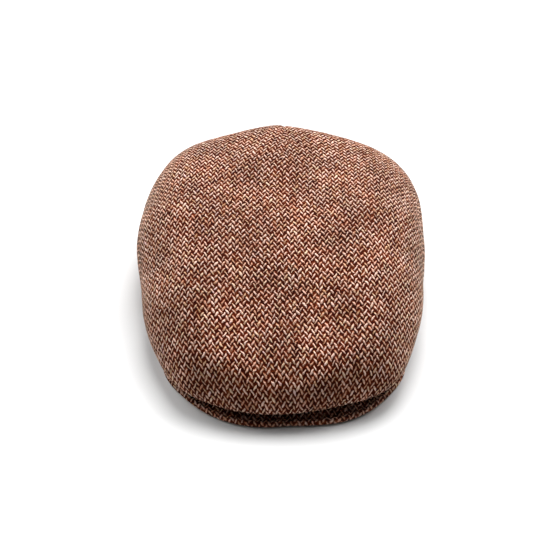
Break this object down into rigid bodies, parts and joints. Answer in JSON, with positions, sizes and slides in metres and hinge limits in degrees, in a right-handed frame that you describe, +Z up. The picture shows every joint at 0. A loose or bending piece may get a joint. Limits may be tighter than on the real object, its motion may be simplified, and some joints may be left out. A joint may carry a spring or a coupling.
{
  "type": "ivy cap",
  "caption": "Brown tweed ivy cap with a one-piece top folding over a short stiff peak, low sides that are taller at the back, and an open head hollow.",
  "frame": {"origin": "centre of the bounding box at its base, on the surface that the cap rests on", "axes": "the peak points to -Y, the centre-back seam faces +Y, +X is the wearer's left, +Z is up"},
  "size_m": [0.2298, 0.2843, 0.0912],
  "materials": {
    "top_tweed": "matt woollen herringbone weave in tan and dark brown",
    "side_tweed": "matt woollen herringbone weave in tan and dark brown",
    "peak_tweed": "matt woollen herringbone weave in tan and dark brown, over a stiff board"
  },
  "bodies": {
    "root": {"top_panel": "top_tweed", "left_side_panel": "side_tweed", "right_side_panel": "side_tweed", "peak": "peak_tweed"}
  },
  "joints": []
}
